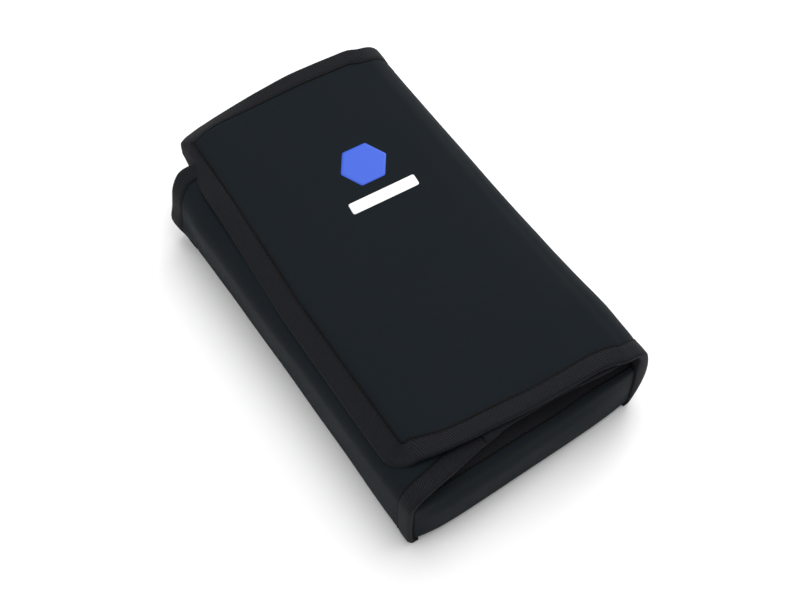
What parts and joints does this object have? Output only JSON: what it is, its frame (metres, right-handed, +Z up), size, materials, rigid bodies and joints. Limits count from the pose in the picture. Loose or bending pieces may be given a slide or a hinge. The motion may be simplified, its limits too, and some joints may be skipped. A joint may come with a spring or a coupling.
{
  "type": "precision screwdriver set",
  "caption": "Folding fabric tool wallet with taped edges, holding rows of precision screwdrivers with swivel caps and a sliding bit case.",
  "frame": {"origin": "centre of the underside of the closed wallet's box, on the surface it stands on", "axes": "+X across the wallet towards the cover's fold, +Y along it towards the open far end, +Z up"},
  "size_m": [0.158, 0.275, 0.066],
  "materials": {
    "nylon_cloth": "matt fine twill",
    "binding_tape": "ribbed grosgrain",
    "elastic_webbing": "ribbed elastic",
    "hook_and_loop": "matt pile",
    "driver_handle": "dark anodised, knurled",
    "swivel_cap": "blue anodised",
    "steel_blade": "hardened, satin",
    "bit_case": "fine moulded texture",
    "bit_tray": "moulded",
    "bits_and_rail": "satin",
    "blue_print": "flat print",
    "white_print": "flat print"
  },
  "bodies": {
    "base": {"base_panel": "nylon_cloth", "base_far_tape": "binding_tape", "base_tip_pocket": "nylon_cloth", "base_elastic": "elastic_webbing", "bit_case_strap": "elastic_webbing"},
    "end_flap": {"end_flap": "nylon_cloth", "end_flap_tape": "binding_tape"},
    "left_wall": {"left_wall": "nylon_cloth", "left_wall_near_tape": "binding_tape", "left_wall_far_tape": "binding_tape"},
    "tuck_flap": {"tuck_flap": "nylon_cloth", "tuck_flap_tape": "binding_tape", "loop_strip": "hook_and_loop", "flap_tip_pocket": "nylon_cloth", "flap_elastic": "elastic_webbing"},
    "right_wall": {"right_wall": "nylon_cloth", "right_wall_near_tape": "binding_tape", "right_wall_far_tape": "binding_tape"},
    "cover": {"cover": "nylon_cloth", "cover_tape": "binding_tape", "badge_hexagon": "blue_print", "badge_bar": "white_print", "hook_strip": "hook_and_loop", "cover_tip_pocket": "nylon_cloth", "cover_elastic": "elastic_webbing"},
    "bit_case": {"bit_case_sleeve": "bit_case"},
    "bit_tray": {"bit_tray": "bit_tray", "bit_rail_1": "bits_and_rail", "bit_rail_2": "bits_and_rail", "bit_rail_3": "bits_and_rail"},
    "base_driver_1": {"base_driver_1_handle": "driver_handle", "base_driver_1_blade": "steel_blade"},
    "base_driver_1_cap": {"base_driver_1_cap": "swivel_cap"},
    "base_driver_2": {"base_driver_2_handle": "driver_handle", "base_driver_2_blade": "steel_blade"},
    "base_driver_2_cap": {"base_driver_2_cap": "swivel_cap"},
    "base_driver_3": {"base_driver_3_handle": "driver_handle", "base_driver_3_blade": "steel_blade"},
    "base_driver_3_cap": {"base_driver_3_cap": "swivel_cap"},
    "flap_driver_1": {"flap_driver_1_handle": "driver_handle", "flap_driver_1_blade": "steel_blade"},
    "flap_driver_1_cap": {"flap_driver_1_cap": "swivel_cap"},
    "flap_driver_2": {"flap_driver_2_handle": "driver_handle", "flap_driver_2_blade": "steel_blade"},
    "flap_driver_2_cap": {"flap_driver_2_cap": "swivel_cap"},
    "flap_driver_3": {"flap_driver_3_handle": "driver_handle", "flap_driver_3_blade": "steel_blade"},
    "flap_driver_3_cap": {"flap_driver_3_cap": "swivel_cap"},
    "cover_driver_1": {"cover_driver_1_handle": "driver_handle", "cover_driver_1_blade": "steel_blade"},
    "cover_driver_1_cap": {"cover_driver_1_cap": "swivel_cap"},
    "cover_driver_2": {"cover_driver_2_handle": "driver_handle", "cover_driver_2_blade": "steel_blade"},
    "cover_driver_2_cap": {"cover_driver_2_cap": "swivel_cap"},
    "cover_driver_3": {"cover_driver_3_handle": "driver_handle", "cover_driver_3_blade": "steel_blade"},
    "cover_driver_3_cap": {"cover_driver_3_cap": "swivel_cap"}
  },
  "joints": [
    {"name": "unfold", "type": "hinge", "parent": "base", "child": "right_wall", "pos_m": [0.079, 0, 0], "axis": [0, 1, 0], "range_deg": [0, 90]},
    {"name": "cover_fold", "type": "hinge", "parent": "right_wall", "child": "cover", "pos_m": [0.079, 0, 0.066], "axis": [0, 1, 0], "range_deg": [0, 93.43]},
    {"name": "left_wall_fold", "type": "hinge", "parent": "base", "child": "left_wall", "pos_m": [-0.079, 0, 0], "axis": [0, -1, 0], "range_deg": [0, 90]},
    {"name": "tuck_flap_fold", "type": "hinge", "parent": "left_wall", "child": "tuck_flap", "pos_m": [-0.079, 0, 0.05152], "axis": [0, -1, 0], "range_deg": [0, 86.57]},
    {"name": "end_flap_fold", "type": "hinge", "parent": "base", "child": "end_flap", "pos_m": [0, -0.1365, 0], "axis": [1, 0, 0], "range_deg": [0, 90]},
    {"name": "base_driver_1_slide", "type": "slide", "parent": "base", "child": "base_driver_1", "axis": [0, 1, 0], "range_m": [0, 0.2]},
    {"name": "base_driver_1_cap_spin", "type": "hinge", "parent": "base_driver_1", "child": "base_driver_1_cap", "pos_m": [-0.063, 0.0685, 0.0127], "axis": [0, 1, 0], "continuous": true},
    {"name": "base_driver_2_slide", "type": "slide", "parent": "base", "child": "base_driver_2", "axis": [0, 1, 0], "range_m": [0, 0.2]},
    {"name": "base_driver_2_cap_spin", "type": "hinge", "parent": "base_driver_2", "child": "base_driver_2_cap", "pos_m": [-0.041, 0.0685, 0.0127], "axis": [0, 1, 0], "continuous": true},
    {"name": "base_driver_3_slide", "type": "slide", "parent": "base", "child": "base_driver_3", "axis": [0, 1, 0], "range_m": [0, 0.2]},
    {"name": "base_driver_3_cap_spin", "type": "hinge", "parent": "base_driver_3", "child": "base_driver_3_cap", "pos_m": [-0.019, 0.0685, 0.0127], "axis": [0, 1, 0], "continuous": true},
    {"name": "flap_driver_1_slide", "type": "slide", "parent": "tuck_flap", "child": "flap_driver_1", "axis": [0, 1, 0], "range_m": [0, 0.2]},
    {"name": "flap_driver_1_cap_spin", "type": "hinge", "parent": "flap_driver_1", "child": "flap_driver_1_cap", "pos_m": [-0.01835, 0.0765, 0.04244], "axis": [0, 1, 0], "continuous": true},
    {"name": "flap_driver_2_slide", "type": "slide", "parent": "tuck_flap", "child": "flap_driver_2", "axis": [0, 1, 0], "range_m": [0, 0.2]},
    {"name": "flap_driver_2_cap_spin", "type": "hinge", "parent": "flap_driver_2", "child": "flap_driver_2_cap", "pos_m": [-0.04031, 0.0765, 0.04112], "axis": [0, 1, 0], "continuous": true},
    {"name": "flap_driver_3_slide", "type": "slide", "parent": "tuck_flap", "child": "flap_driver_3", "axis": [0, 1, 0], "range_m": [0, 0.2]},
    {"name": "flap_driver_3_cap_spin", "type": "hinge", "parent": "flap_driver_3", "child": "flap_driver_3_cap", "pos_m": [-0.06227, 0.0765, 0.0398], "axis": [0, 1, 0], "continuous": true},
    {"name": "cover_driver_1_slide", "type": "slide", "parent": "cover", "child": "cover_driver_1", "axis": [0, 1, 0], "range_m": [0, 0.2]},
    {"name": "cover_driver_1_cap_spin", "type": "hinge", "parent": "cover_driver_1", "child": "cover_driver_1_cap", "pos_m": [0.0568, 0.0805, 0.05195], "axis": [0, 1, 0], "continuous": true},
    {"name": "cover_driver_2_slide", "type": "slide", "parent": "cover", "child": "cover_driver_2", "axis": [0, 1, 0], "range_m": [0, 0.2]},
    {"name": "cover_driver_2_cap_spin", "type": "hinge", "parent": "cover_driver_2", "child": "cover_driver_2_cap", "pos_m": [0.03484, 0.0805, 0.05063], "axis": [0, 1, 0], "continuous": true},
    {"name": "cover_driver_3_slide", "type": "slide", "parent": "cover", "child": "cover_driver_3", "axis": [0, 1, 0], "range_m": [0, 0.2]},
    {"name": "cover_driver_3_cap_spin", "type": "hinge", "parent": "cover_driver_3", "child": "cover_driver_3_cap", "pos_m": [0.01288, 0.0805, 0.04931], "axis": [0, 1, 0], "continuous": true},
    {"name": "bit_case_slide", "type": "slide", "parent": "base", "child": "bit_case", "axis": [0, 1, 0], "range_m": [0, 0.17]},
    {"name": "bit_tray_slide", "type": "slide", "parent": "bit_case", "child": "bit_tray", "axis": [0, 1, 0], "range_m": [0, 0.13]}
  ],
  "couplings": [
    {"joint": "cover_fold", "follows": "unfold", "ratio": 1.0381},
    {"joint": "left_wall_fold", "follows": "unfold", "ratio": 1},
    {"joint": "tuck_flap_fold", "follows": "unfold", "ratio": 0.9617},
    {"joint": "end_flap_fold", "follows": "unfold", "ratio": 1}
  ]
}
